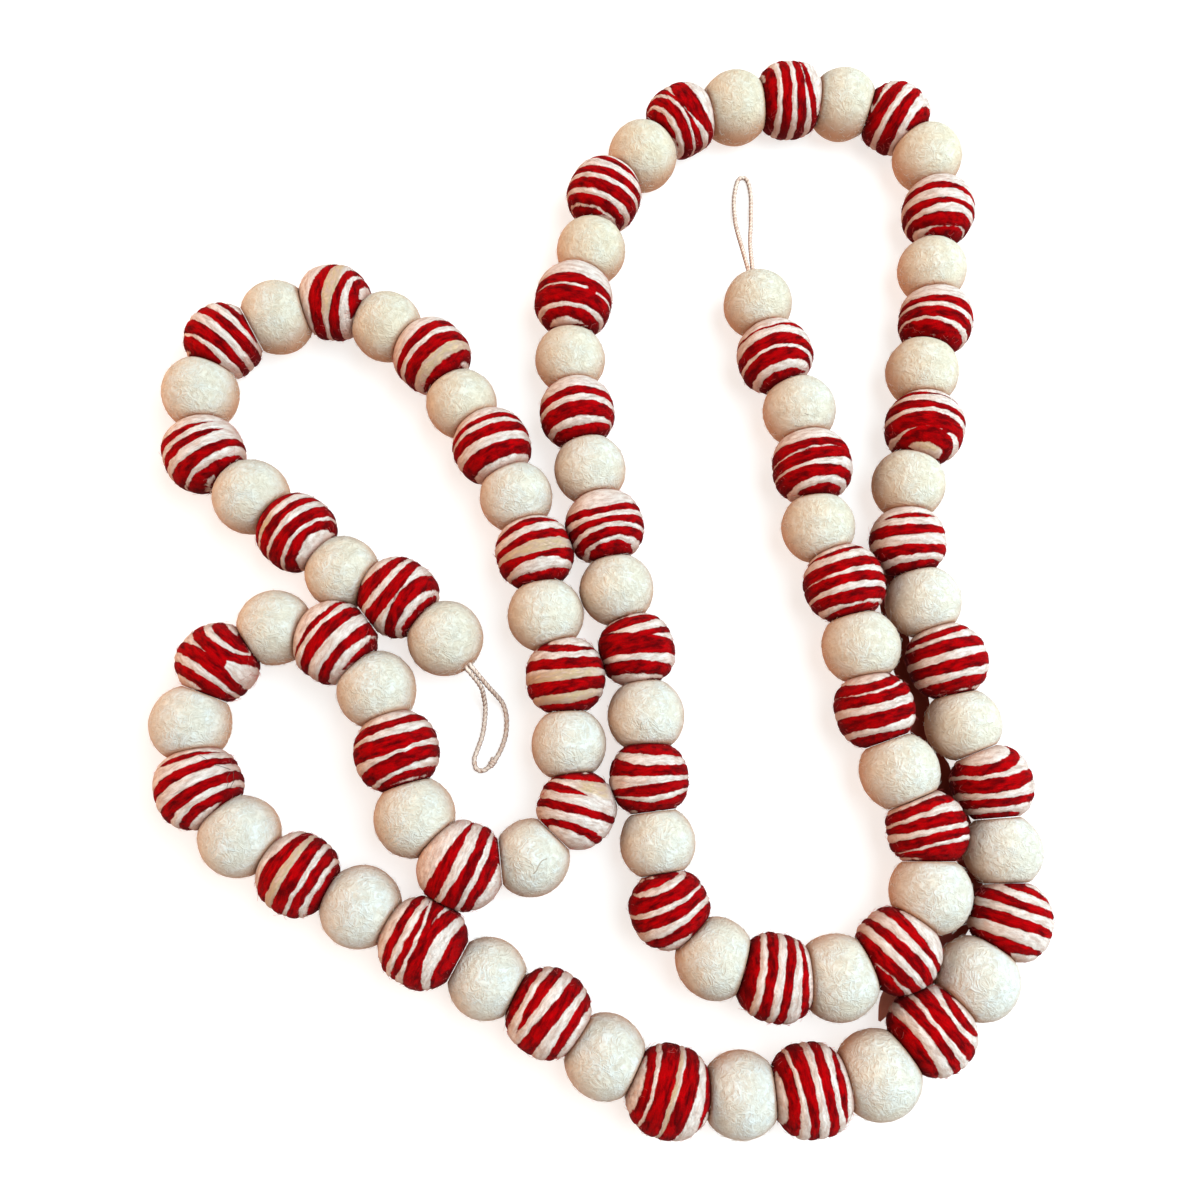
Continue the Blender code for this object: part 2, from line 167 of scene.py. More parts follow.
# One row for each red roving on a striped ball: the ball's number along the
# string, then the roving's low and high edge at three places, which are 50 degrees
# left of the ball's top, the top itself, and 50 degrees right of it. Heights are
# measured along the string from the ball's middle. Where the high edge is below
# the low one, the roving has run out.
RED_ROVINGS = (
    (2, 11.2, 13, 10.3, 13, 10.3, 13), (2, 7.2, 8.3, 3.5, 6.8, 3.4, 7), (2, 1, 4.6, -2.3, 1.4, -2, 1.2),
    (2, -6.4, -5, -6.3, -6.2, -6.6, -6.7),
    (4, 11, 12.3, 10.2, 13, 11.1, 13), (4, 5.5, 7.8, 4.3, 7.1, 4.6, 8.3),
    (4, -1.6, 0.6, -1.7, 1.4, -0.4, 2.7), (4, -5.6, -2.6, -5.4, -3.3, -5.1, -2),
    (6, 11, 12.5, 10.2, 12.2, 9.9, 11.5), (6, 6.6, 9, 5.5, 8.6, 4.6, 7.4),
    (6, 1.3, 3.8, -0.1, 2.4, -0.8, 2.1), (6, -4.7, -2.2, -5.1, -2.6, -5.4, -2.3),
    (6, -9.6, -9.5, -9.5, -8.7, -9.3, -9.2),
    (8, 9.3, 10.3, 9.6, 11.2, 8.9, 11.5), (8, 1.7, 5, 2.7, 6.4, 1.8, 5.8),
    (8, -5.2, -2.4, -3.6, -1.1, -4.8, -1.8), (8, -9, -7.2, -7.3, -5.4, -8.6, -6.1),
    (10, 6.2, 10.5, 6.1, 9.6, 6.1, 7.4), (10, 2, 3.5, 2.1, 3.9, 2.4, 4.6),
    (10, -3.3, -0.6, -3.6, -0.4, -2.6, -0.8), (10, -9.2, -7.6, -8.6, -6.7, -7, -4.8),
    (12, 8.5, 11.5, 9.6, 12, 11, 13), (12, 4, 6, 5.5, 8.3, 6.2, 9.3), (12, -1.5, 1, -0.8, 2.1, 0.5, 2.4),
    (12, -5.8, -4.8, -6, -4.2, -7, -4),
    (14, 8, 10.6, 7.4, 10.2, 7.1, 9.6), (14, 2.4, 4.9, 2.1, 4.2, 1.8, 4.2),
    (14, -3, -1.1, -3.3, -1.4, -3.6, -1.7), (14, -10, -8.2, -8.2, -7, -6.9, -6.1),
    (16, 9.3, 10.8, 8.3, 10, 8.9, 8.6), (16, 3.3, 7.4, 1.8, 4.9, 2.4, 6.1),
    (16, -2.3, 0.8, -3.3, -0.8, -2, 0.5), (16, -9, -6.6, -9.2, -6.7, -8.3, -4.8),
    (18, 9, 9.8, 7.4, 9.6, 6.4, 9.4), (18, 1.4, 5.5, 0.2, 2.7, 0.2, 2.7),
    (18, -5.1, -3.6, -5.8, -3.3, -4.5, -2.3), (18, -9.8, -7, -10.2, -8.6, -9.5, -7),
    (20, 7, 9.3, 6.8, 9.9, 8.2, 9.8), (20, -1.4, 5.8, -3.1, 2.9, -4.2, 0.1),
    (20, 3.6, 3.7, 2.5, 3, 2.9, 4.2), (20, -7.6, -4.2, -9.5, -6.4, -10.4, -8.2),
    (22, 2, 3.9, 1.4, 3, 2.4, 3.9), (22, -3.6, -1.2, -2.1, -1, -2.9, -0.7),
    (22, -8.2, -6.2, -6.7, -4.7, -7.3, -5.4), (22, -12, -10.4, -12, -8.8, -12, -10.4),
    (24, 1.4, 3.6, 2, 4.2, 0.8, 3), (24, -6.2, -2, -5.8, -1.4, -6.2, -2.6),
    (24, -11.2, -9.3, -10.9, -9.2, -10.8, -8.6),
    (26, -0.4, 2.2, -0.1, 3, -0.4, 1.8), (26, -7.4, -2, -6.8, -2, -6.7, -2.4),
    (26, -11.5, -9.9, -10.8, -9, -11, -9.2),
    (28, 7.6, 8.4, 6.5, 9, 7.6, 8.4), (28, -1, 1.4, -0.1, 2.4, 1.4, 3.6),
    (28, -6.4, -3.9, -5.8, -2.9, -4.8, -1.4), (28, -10.5, -8.9, -10.4, -8.6, -9.5, -8),
    (28, -13, -12, -13, -11.9, -13, -11.2),
    (30, 0.8, 5.4, -1.9, 3.9, 2.2, 5.5), (30, -4.9, -2.6, -2.6, -2.9, -1.5, -0.4),
    (30, -9.4, -7.6, -7.3, -4.8, -6, -3.6), (30, -12.5, -11, -11.8, -9.8, -10.5, -8.9),
    (32, 3.4, 3.6, 4.2, 5.5, 6.7, 8.2), (32, 0.6, 1.9, 0.8, 2.8, 1.4, 3.9),
    (32, -4.7, -2.7, -4.4, -2, -4.2, -1.7), (32, -10, -8.8, -9.8, -7.3, -9.5, -7.3),
    (34, 10.4, 11.2, 8.2, 11.4, 8.3, 9.3), (34, 1.6, 3.6, 1.1, 4.2, 1.1, 4.9),
    (34, -5.3, -2.9, -6, -2.6, -6.7, -2.3), (34, -10.4, -9.6, -10.4, -8.9, -10.8, -8),
    (36, 10.9, 12.6, 11.3, 12.8, 11.6, 13), (36, 7.4, 9.5, 7.4, 10.2, 7.4, 9.6),
    (36, 2.7, 4.2, 2.7, 3.8, 2.4, 4.8), (36, -2, -1, -4.2, -2.2, -4.5, -2.3),
    (38, 8.9, 11.4, 7.1, 10.2, 6.1, 9.2), (38, 3, 5.8, 1.8, 4.9, 1.4, 4.2),
    (38, -3.3, -0.4, -3.3, -1, -2.4, -1),
    (40, 8.6, 11, 5.2, 8.9, 8, 10.5), (40, 1.8, 5.2, -0.1, 4.4, 1.4, 6.1),
    (40, -3, -1.7, -4, -2.6, -4.2, -1.4), (40, -7.5, -7.5, -8.5, -8.6, -8.8, -7.4),
    (42, 8.9, 10.5, 9.6, 11.1, 10.2, 12), (42, 3.9, 6.1, 4.6, 6.7, 3.9, 7),
    (42, -2.6, -1, -2.3, 0.2, -3.3, -0.1), (42, -6, -7.2, -7, -5.9, -6.6, -7),
    (44, 8, 10.2, 8, 10.5, 7.7, 10.2), (44, 1.1, 4.6, 1.8, 4.9, 1.4, 4.2),
    (44, -4.8, -2, -5.1, -2, -5.1, -2), (44, -9.6, -8.6, -9.2, -7.9, -8.6, -7.3),
    (46, 11.8, 11.7, 10.2, 11.1, 8.9, 10.2), (46, 6.1, 7.6, 5.8, 7.4, 4.2, 6.1),
    (46, -1.6, 1.3, -0.8, 2.8, -2.4, 1.1), (46, -9.2, -6.6, -5.7, -3.5, -7, -4.5),
    (48, 7.8, 8.6, 7.7, 9.9, 6.8, 9.2), (48, 0.8, 2.4, 0.2, 2.7, -0.4, 2.4),
    (48, -5, -3.8, -5.1, -3.3, -6.4, -3.9), (48, -8.5, -8.2, -10.5, -8.6, -10, -9.6),
    (50, 8.6, 10.6, 7.4, 10.2, 6.8, 9.7), (50, 2, 4, 1.4, 3.3, 0.2, 2.7),
    (50, -4.8, -1.7, -4.2, -1, -6, -2.3), (50, -9, -8.5, -8.8, -6.6, -10.4, -9.4),
    (52, 7, 9.6, 6.1, 8.3, 6.8, 9.6), (52, 1.1, 3, 1.1, 3.3, 1.4, 4.6),
    (52, -5, -2.8, -4.5, -2.3, -4.2, -2), (52, -8.2, -8.4, -8.7, -7, -8.6, -7.6),
    (54, 7.7, 9.6, 7, 8.6, 7.4, 8.9), (54, 1.8, 5.9, 1.1, 4.9, 0.5, 4.9),
    (54, -4.2, -0.4, -6, -1.7, -6, -2.3), (54, -10.5, -10.6, -11.2, -10.4, -10.6, -9.5),
    (56, 9, 10, 9.2, 10.8, 9.2, 10.8), (56, 5.8, 4.8, 4.6, 6.4, 3.3, 5.8),
    (56, -1.7, 2.4, -2.6, 0.8, -4.2, -1), (56, -8.4, -6.8, -8.6, -6.7, -9.2, -7.3),
    (58, 6.1, 7.8, 6.4, 8.3, 6.7, 8.4), (58, 2, 3, 1.8, 3.1, 3.7, 3.4),
    (58, 0.6, -0.6, 0.2, -0.4, -0.5, 1.8), (58, -5.8, -1, -3.3, -0.4, -4.8, -2.3),
    (58, -12.6, -9.2, -12.6, -8.6, -12.6, -8.9),
    (60, 4.2, 7.7, 3.6, 7.4, 3, 5.2), (60, -2.9, 0.2, -3.6, -0.4, -2.9, -0.1),
    (60, -7.3, -5.1, -7.9, -6.1, -7.9, -5.8), (60, -11.3, -10.1, -11.8, -10.4, -11.8, -10.1),
    (62, 10.2, 9, 8.5, 9.8, 7, 7), (62, 1.6, 4, 2.4, 4.6, 2, 3.7),
    (62, -6.5, -3.2, -5.1, -2.3, -4.2, -1.9), (62, -10.8, -9.9, -9.6, -8.1, -8.6, -7),
    (64, 9.4, 10.8, 7.3, 10.1, 8.9, 9.6), (64, 2.6, 5.8, 1.6, 4.3, 5.2, 7.3),
    (64, -4.6, -1.5, -3.2, 0.2, -3.3, -0.8), (64, -10.4, -8.2, -9.2, -6.7, -8.9, -6),
    (66, 11.8, 12.6, 11.1, 12.5, 9.9, 11.1), (66, 7.3, 10, 6.1, 8, 4.2, 6.4),
    (66, -0.3, 2.8, -2.6, 1.1, -3.3, -0.8), (66, -4.6, -3.8, -6.1, -5.1, -6.8, -7),
    (68, 9.2, 10.5, 9.4, 10.3, 10.2, 10.9), (68, 3, 6.1, 3.6, 7.2, 4.8, 8),
    (68, -2.9, 0.2, -2.9, 1.4, -3.6, 0.8), (68, -8.6, -6.7, -8.3, -6.4, -8.6, -6),
    (70, 7.7, 10.2, 7.7, 10.5, 5.8, 8.3), (70, 3, 5.2, 2.4, 4.9, -0.8, 3),
    (70, -2.2, -1.4, -5.1, -2, -7.6, -3.9),
    (72, 7.3, 8.5, 9.2, 10.8, 11, 12.4), (72, 3, 4.9, 4.2, 4.4, 8, 2),
    (72, -2.6, -0.8, -1.9, -0.2, -1, 0.3), (72, -8, -7, -7.2, -5.8, -8, -6.4),
    (74, 9.8, 11, 6.7, 8.7, 6.6, 7.2), (74, 2.7, 5.2, 0.8, 3.6, 0.2, 3),
    (74, -5.8, -2.3, -6.7, -3.6, -6.4, -3.3), (74, -13, -9.8, -13, -10.8, -13, -10.1),
    (76, 5.6, 7.2, 7, 9.6, 8, 9), (76, -0.1, 1.4, 1.1, 3.3, 1.4, 3.6),
    (76, -5.9, -3.5, -4.9, -4.2, -5.9, -3.3), (76, -11.5, -9.2, -12, -9.8, -12, -9.5),
    (78, 5.4, 6.5, 5.2, 6.4, 3, 4.9), (78, 0.5, 3, -0.8, 2, -2.6, 0.5),
    (78, -8, -3.9, -8.9, -5.1, -9.5, -6.4),
    (80, 2, 3.9, 2, 4.9, 1.6, 4.2), (80, -4.5, -1, -4.2, -0.8, -5.1, -2),
    (80, -11, -8.9, -11.4, -9.2, -11, -8.9),
    (82, 1.8, 5.6, 1.7, 5.5, -0.4, 1.4), (82, -4.2, -1.6, -5.4, -3.9, -8.4, -6.6),
    (82, -9.9, -8.5, -10, -8.4, -11.4, -10.2),
    (84, 7.7, 9.6, 7.7, 10.8, 9.2, 11.2), (84, 1.9, 4.2, 2, 5.5, 3.4, 7.4),
    (84, -4.8, -1.7, -4.5, -2, -3.6, -1.2), (84, -8.8, -7.4, -9.6, -8, -9.6, -8),
    (86, 8.9, 10.5, 10.2, 11.7, 10.5, 12.4), (86, 3.6, 5.2, 4.9, 7.4, 5.2, 8.6),
    (86, -0.6, -1.2, -1.4, 0.5, -0.8, 1.1), (86, -4.2, -5.2, -5.5, -4.5, -6.6, -4),
    (88, 7.7, 9.3, 6.1, 7.7, 6.4, 8.6), (88, 2.4, 5.6, 1.1, 3.9, 0.5, 4.2),
    (88, -2.9, -1.3, -4.2, -2, -4.2, -1.7), (88, -9, -7.2, -11.4, -7.9, -11, -6.7),
    (90, 11.7, 12.6, 10.5, 12, 9.6, 11.1), (90, 5.8, 9.2, 3.9, 7.4, 4.1, 6.8),
    (90, -1, 1.4, -1, 2.4, -3.3, 0.3), (90, -6.4, -4, -8.2, -4.5, -10.8, -6.4),
)
CHART_ANGLE = 50

# Where two red rovings run together: ball, angle round it, height, radius
RED_SPOTS = (
    (26, 30, -1.1, 1.7), (40, -20, 4.8, 1.3), (64, 8, 1, 2.2), (64, 20, 1, 2.4),
)

# Cream roving that is tan instead: ball, angle, height, half its length round the
# ball in degrees, half its width
TAN_SPOTS = (
    (40, 10, 9.5, 35, 1.8), (54, -10, 0, 80, 1), (60, 0, 1.9, 90, 1.6),
    (72, 22, 7.6, 26, 2.2), (74, -20, -1.3, 70, 2), (74, -20, -8.4, 80, 2), (76, 0, -1.4, 60, 2.2),
    (80, 0, -6.6, 75, 2.4), (82, 10, -1, 55, 2.8), (88, 26, -5.5, 18, 0.8),
)

# Tan ends at this many times its half size, and fades over this share of it
TAN_END = 1.35
TAN_FADE = 0.5

# How finely the balls are meshed, round the string and from end to end
WHITE_AROUND = 64
WHITE_BANDS = 46
STRIPED_AROUND = 76
STRIPED_BANDS = 64

# How far a red roving's loose fibres spread past its charted edges
ROVING_SPREAD = 0.5

# How far the rovings wander up and down, and over what length
ROVING_WANDER = 0.4 * MM
WANDER_SIZE = 3.4 * MM

# Within this distance of a contact face, a ball keeps the colour it has there
RIM_BAND = 0.9 * MM

# Relief: how proud the middle of a roving stands of the groove at its edge, over
# what width it rises, what share of it lies inside the ball's outline, how far the
# plain balls' loose fibres stand out, how uneven the balls are and over what
# distances, and how wide the band beside a contact face is where all of it fades
ROVING_RELIEF = 0.55 * MM
ROVING_RISE = 1.3 * MM
ROVING_SUNK = 0.9
WHITE_SWELL = 0.15 * MM
WHITE_LUMP = 0.22 * MM
STRIPED_LUMP = 0.4 * MM
LUMP_SIZE = 9 * MM
RIPPLE = 0.07 * MM
RIPPLE_SIZE = 2.4 * MM
RIM_FADE = 1.6 * MM

# How far apart the striped balls' colours are taken from the same noise
NOISE_STEP = 40

# How warm the wool is, by painted warm light towards the far end and a random tint for
# each ball: at the middle of the garland, how much more it is for each metre away from
# the viewer, how much it varies, over what distance, and the most that it can be
WARMTH_MIDDLE = 0.5
WARMTH_RISE = 2.8
WARMTH_SPREAD = 0.5
WARMTH_SIZE = 45 * MM
WARMTH_MOST = 1.3

# Painted shade: the wool is darker and warmer where its outward direction points down:
# none above the first height of that direction, all of it below the second. Painted
# shade also darkens the creases where balls touch.
PAINTED_SHADE_START = 0.8
PAINTED_SHADE_FULL = -0.15
CREASE_WIDTH = 1.1 * MM
CREASE_SHADE = 0.85

# String: two plies pressed into each other, 1.3 mm across them at the narrowest and
# 1.8 mm at the widest
PLY_RADIUS = 0.68 * MM
PLY_OFFSET = 0.2 * MM
TWIST_PITCH = 3.4 * MM
STRING_AROUND = 14
STRING_STEP = 0.35 * MM
STRING_INSIDE = 1.1 * MM
# how steeply the painted shade darkens the string's sides and underside
STRING_PAINTED_SHADE_POWER = 0.45

# The photograph's camera: where the eye is, how far it looks up from straight
# down, how far it is rolled, and the lens for a 36 mm sensor
EYE = Vector((5.1, -116.5, 371.5)) * MM
TILT = 0.2533
ROLL = 0.0455
LENS = 33.0

# Colours, as linear red, green and blue, with an alpha of one
WHITE_WOOL = (0.69, 0.69, 0.655, 1)
YELLOWED_WOOL = (0.70, 0.65, 0.56, 1)
WHITE_WOOL_PIT = (0.57, 0.50, 0.41, 1)
# painted shade, for the balls' undersides and the creases where they touch
WHITE_WOOL_PAINTED_SHADE = (0.46, 0.215, 0.115, 1)
CREAM_WOOL = (0.92, 0.80, 0.73, 1)
CREAM_WOOL_PIT = (0.62, 0.42, 0.34, 1)
# painted shade, for the cream roving's undersides and creases
CREAM_WOOL_PAINTED_SHADE = (0.52, 0.29, 0.22, 1)
TAN_WOOL = (0.66, 0.46, 0.27, 1)
RED_WOOL = (0.47, 0.0, 0.0015, 1)
RED_WOOL_PIT = (0.09, 0.0, 0.001, 1)
# painted shade, for the red roving's undersides and creases
RED_WOOL_PAINTED_SHADE = (0.10, 0.0, 0.0005, 1)
COTTON = (0.88, 0.69, 0.57, 1)
COTTON_SHADE = (0.62, 0.38, 0.28, 1)
# painted shade, for the string's sides and underside
COTTON_PAINTED_SHADE = (0.16, 0.05, 0.03, 1)
# painted warm light on the far balls, with each ball's random tint
PAINTED_WARMTH_TINT = (1.0, 0.92, 0.80, 1)
HAIR = (0.07, 0.05, 0.04, 1)
PUCKERED_WOOL = (0.42, 0.35, 0.28, 1)
GAP_SHADE = (0.28, 0.06, 0.045, 1)
PALER_GAP_SHADE = (0.9, 0.5, 0.46, 1)
WHITE_FIBRE = (0.72, 0.66, 0.57, 1)
STRIPED_FIBRE = (0.55, 0.10, 0.09, 1)
FLOOR_PAINT = (0.40, 0.40, 0.40, 1)
FLOOR_GLOW = (1.0, 0.97, 0.94, 1)
ROOM_LIGHT = (1.0, 0.77, 0.57, 1)

# How strongly the floor glows, how far it reaches each way from the middle and how
# far it lies below the garland
FLOOR_GLOW_STRENGTH = 0.75
FLOOR_HALF = 3.0
FLOOR_DROP = 0.05 * MM

# Lights: name, place, width, watts and colour, then how strong the room's own light is
LIGHTS = (
    ("window", (0.62, 0.1, 0.85), 1.1, 22, (0.76, 1.0, 1.12)),
    ("lamp", (-1.05, 0.15, 0.36), 0.6, 8, (1.0, 0.47, 0.21)),
)
ROOM_STRENGTH = 0.37


def make_camera():
    """The photograph's view, straight down but for a tilt and a slight roll."""
    bpy.context.scene.view_settings.view_transform = "Standard"
    ahead = Vector((0, math.sin(TILT), -math.cos(TILT)))
    above = Vector((0, math.cos(TILT), math.sin(TILT)))
    right = Vector((1, 0, 0))
    across = right * math.cos(ROLL) + above * math.sin(ROLL)
    upward = above * math.cos(ROLL) - right * math.sin(ROLL)
    camera = bpy.data.cameras.new("view")
    camera.lens = LENS
    camera.clip_start = 0.01
    camera.clip_end = 20
    holder = bpy.data.objects.new("view", camera)
    axes = Matrix((across, upward, -ahead)).transposed()
    holder.matrix_world = Matrix.Translation(EYE) @ axes.to_4x4()
    bpy.context.scene.collection.objects.link(holder)
    bpy.context.scene.camera = holder


def unit(vector):
    """The vector at length one."""
    return vector / np.linalg.norm(vector)


def ball_places():
    """Centre and radius of every ball, in the order in which they are threaded."""
    places = []
    for row, (x, y, bow, white_radius, striped_radius) in enumerate(PAIRS):
        places.append((np.array((x * MM, y * MM, white_radius * MM - FLAT_DEPTH)), white_radius * MM))
        if row + 1 < len(PAIRS):
            ahead_x, ahead_y = PAIRS[row + 1][:2]
            span = math.hypot(ahead_x - x, ahead_y - y)
            middle_x = (x + ahead_x) / 2 - bow * (ahead_y - y) / span
            middle_y = (y + ahead_y) / 2 + bow * (ahead_x - x) / span
            height = striped_radius * MM - FLAT_DEPTH
            places.append((np.array((middle_x * MM, middle_y * MM, height)), striped_radius * MM))
    return places


def meeting_distance(ball, other):
    """How far from a ball's centre the flat face lies where it meets the other ball."""
    span = np.linalg.norm(other[0] - ball[0])
    return (span ** 2 + ball[1] ** 2 - other[1] ** 2) / (2 * span)


def pad_direction(ball, inner_neighbour, turn, rise):
    """Direction in which the string leaves an end ball, turned to the left and tipped up."""
    away = ball[0] - inner_neighbour[0]
    heading = math.atan2(away[1], away[0]) + turn
    level = np.array((math.cos(heading), math.sin(heading), 0))
    return level * math.cos(rise) + UP * math.sin(rise)


def start_pad(places):
    """Direction of the string at the first ball."""
    return pad_direction(places[0], places[1], START_PAD_TURN, START_PAD_RISE)


def end_pad(places):
    """Direction of the string at the last ball."""
    return pad_direction(places[-1], places[-2], END_PAD_TURN, END_PAD_RISE)


def pad_distance(ball):
    """How far from an end ball's centre its string pad lies."""
    return math.sqrt(ball[1] ** 2 - PAD_RADIUS ** 2)


def cuts(places, index):
    """Where a ball's two end faces lie: a direction and a signed distance for each."""
    ball = places[index]
    if index == 0:
        entry = (-start_pad(places), -pad_distance(ball))
    else:
        back = places[index - 1]
        entry = (unit(ball[0] - back[0]), GAP / 2 - meeting_distance(ball, back))
    if index + 1 == len(places):
        leave = (end_pad(places), pad_distance(ball))
    else:
        ahead = places[index + 1]
        leave = (unit(ahead[0] - ball[0]), meeting_distance(ball, ahead) - GAP / 2)
    return entry, leave


def beside(places, index):
    """The balls of other stretches that press on this one, as flat faces."""
    centre, radius = places[index]
    faces = []
    for other, (spot, size) in enumerate(places):
        reach = radius + size + 2 * SHOULDER + GAP
        if abs(other - index) > 1 and np.linalg.norm(spot - centre) < reach:
            distance = meeting_distance(places[index], (spot, size)) - GAP / 2
            faces.append((unit(spot - centre), distance))
    return faces


def shoulder_shape(share):
    """0 at a ball's middle and at its contact face, and 1 at two thirds of the way."""
    return 6.75 * share ** 2 * (1 - share)


def slerp(start, stop, share):
    """A direction between two others."""
    angle = math.acos(min(1, float(start @ stop)))
    if angle < 1e-6:
        return start
    return (start * math.sin(angle * (1 - share)) + stop * math.sin(angle * share)) / math.sin(angle)


def ball_surface(ball, entry, leave, around, bands, shoulder):
    """Points of a ball in rings from face to face, and how far each is from a rim."""
    centre, radius = ball
    angles = 2 * math.pi * np.arange(around) / around
    start = math.asin(entry[1] / radius)
    stop = math.asin(leave[1] / radius)
    rings = []
    from_rim = []
    for band in range(bands + 1):
        share = band / bands
        latitude = start + (stop - start) * share
        forward = unit(slerp(entry[0], leave[0], share))
        side = unit(np.cross(forward, UP))
        top = np.cross(side, forward)
        distance = radius * math.sin(latitude)
        contact = entry[1] if distance < 0 else leave[1]
        reach = radius * math.cos(latitude) + shoulder * shoulder_shape(distance / contact)
        turn = side * np.sin(angles)[:, None] + top * np.cos(angles)[:, None]
        rings.append(centre + forward * distance + turn * reach)
        from_rim.append(np.full(around, radius * min(latitude - start, stop - latitude)))
    return np.concatenate(rings), np.concatenate(from_rim)


def uneven(points, size, seed):
    """Smooth noise from -1 to 1 at each point, in lumps of about this size."""
    shift = Vector((seed * 7.3, seed * 3.1, seed * 5.7))
    return np.array([noise.noise(Vector(point) / size + shift) for point in points])


def edge_height(left, top, right, place):
    """An edge's height, by a smooth curve through its three charted heights."""
    return top + (right - left) / 2 * place + ((right + left) / 2 - top) * place ** 2


def red_depth(number, heights, angles):
    """How deep each point lies inside red roving, in metres, and negative outside it."""
    place = np.sin(angles) / math.sin(math.radians(CHART_ANGLE))
    depth = np.full(len(heights), -6 * MM)
    for ball, left_low, left_high, top_low, top_high, right_low, right_high in RED_ROVINGS:
        if ball == number:
            low = (edge_height(left_low, top_low, right_low, place) - ROVING_SPREAD) * MM
            high = (edge_height(left_high, top_high, right_high, place) + ROVING_SPREAD) * MM
            depth = np.maximum(depth, np.minimum(heights - low, high - heights))
    return depth


def spot_distance(spot_angle, spot_height, heights, angles, radius):
    """How far round and along the ball each point is from a spot."""
    turned = angles - math.radians(spot_angle)
    round_it = np.arctan2(np.sin(turned), np.cos(turned)) * radius
    return round_it, heights - spot_height * MM


def with_red_spots(number, depth, heights, angles, radius):
    """The depth in red, with the places added where rovings run together."""
    for ball, angle, height, size in RED_SPOTS:
        if ball == number:
            round_it, along = spot_distance(angle, height, heights, angles, radius)
            depth = np.maximum(depth, size * MM - np.hypot(round_it, along))
    return depth


def tan_share(number, heights, angles, radius):
    """How tan the cream roving is at each point, from 0 to 1."""
    share = np.zeros(len(heights))
    for ball, angle, height, half_turn, half_width in TAN_SPOTS:
        if ball == number:
            round_it, along = spot_distance(angle, height, heights, angles, radius)
            reach = math.radians(half_turn) * radius
            outside = np.maximum(np.abs(round_it) / reach, np.abs(along) / (half_width * MM))
            share = np.maximum(share, np.clip((TAN_END - outside) / TAN_FADE, 0, 1))
    return share


def ball_axes(places, index):
    """A ball's own axes: along the string, to the right of it, and up."""
    behind = places[max(index - 1, 0)][0]
    beyond = places[min(index + 1, len(places) - 1)][0]
    forward = unit(beyond - behind)
    side = unit(np.cross(forward, UP))
    return forward, side, np.cross(side, forward)


def closed_mesh(name, points, around):
    """A mesh over rings of points, closed by a flat face at each end."""
    rows = len(points) // around
    near = np.arange((rows - 1) * around).reshape(rows - 1, around)
    beside_it = np.roll(near, -1, axis=1)
    sides = np.stack((near, beside_it, beside_it + around, near + around), axis=-1).reshape(-1, 4)
    first = tuple(reversed(range(around)))
    last = tuple(range((rows - 1) * around, rows * around))
    mesh = bpy.data.meshes.new(name)
    mesh.from_pydata(points.tolist(), [], [*sides.tolist(), first, last])
    mesh.validate()
    mesh.shade_smooth()
    return mesh


def shelter(mesh, from_rim):
    """How much painted shade each point gets: under the ball and in the creases."""
    normals = np.empty(3 * len(mesh.vertices), dtype=np.float32)
    mesh.vertex_normals.foreach_get("vector", normals)
    share = np.clip((PAINTED_SHADE_START - normals[2::3]) / (PAINTED_SHADE_START - PAINTED_SHADE_FULL), 0, 1)
    under = share ** 2 * (3 - 2 * share)
    crease = np.exp(-((from_rim / CREASE_WIDTH) ** 2))
    return 1 - (1 - under) * (1 - CREASE_SHADE * crease)


def ball_painted_warmth_and_tint(centre):
    """How warm a ball's wool is made: painted warm light, which is most at the far end of the garland,
    and a random tint of its own.
    """
    age = WARMTH_MIDDLE + WARMTH_RISE * centre[1] + WARMTH_SPREAD * uneven([centre], WARMTH_SIZE, 5)[0]
    return min(max(age, 0), WARMTH_MOST)


def add_attribute(mesh, name, values):
    """A number for each vertex, which the materials read."""
    layer = mesh.attributes.new(name, "FLOAT", "POINT")
    layer.data.foreach_set("value", np.ascontiguousarray(values, dtype=np.float32))


def add_piece(name, mesh, material):
    """An object for a mesh, riding on the one body there is."""
    mesh.materials.append(material)
    piece = bpy.data.objects.new(name, mesh)
    bpy.context.scene.collection.objects.link(piece)
    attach(piece, "root")
    return piece


def settle(points, ball, pressed_by):
    """Points pressed flat where the ball rests and where its neighbours touch it."""
    centre = ball[0]
    for toward, distance in pressed_by:
        depth = (points - centre) @ toward - distance
        points = points - np.outer(np.maximum(depth, 0), toward)
    points[:, 2] = np.maximum(points[:, 2], 0)
    return points


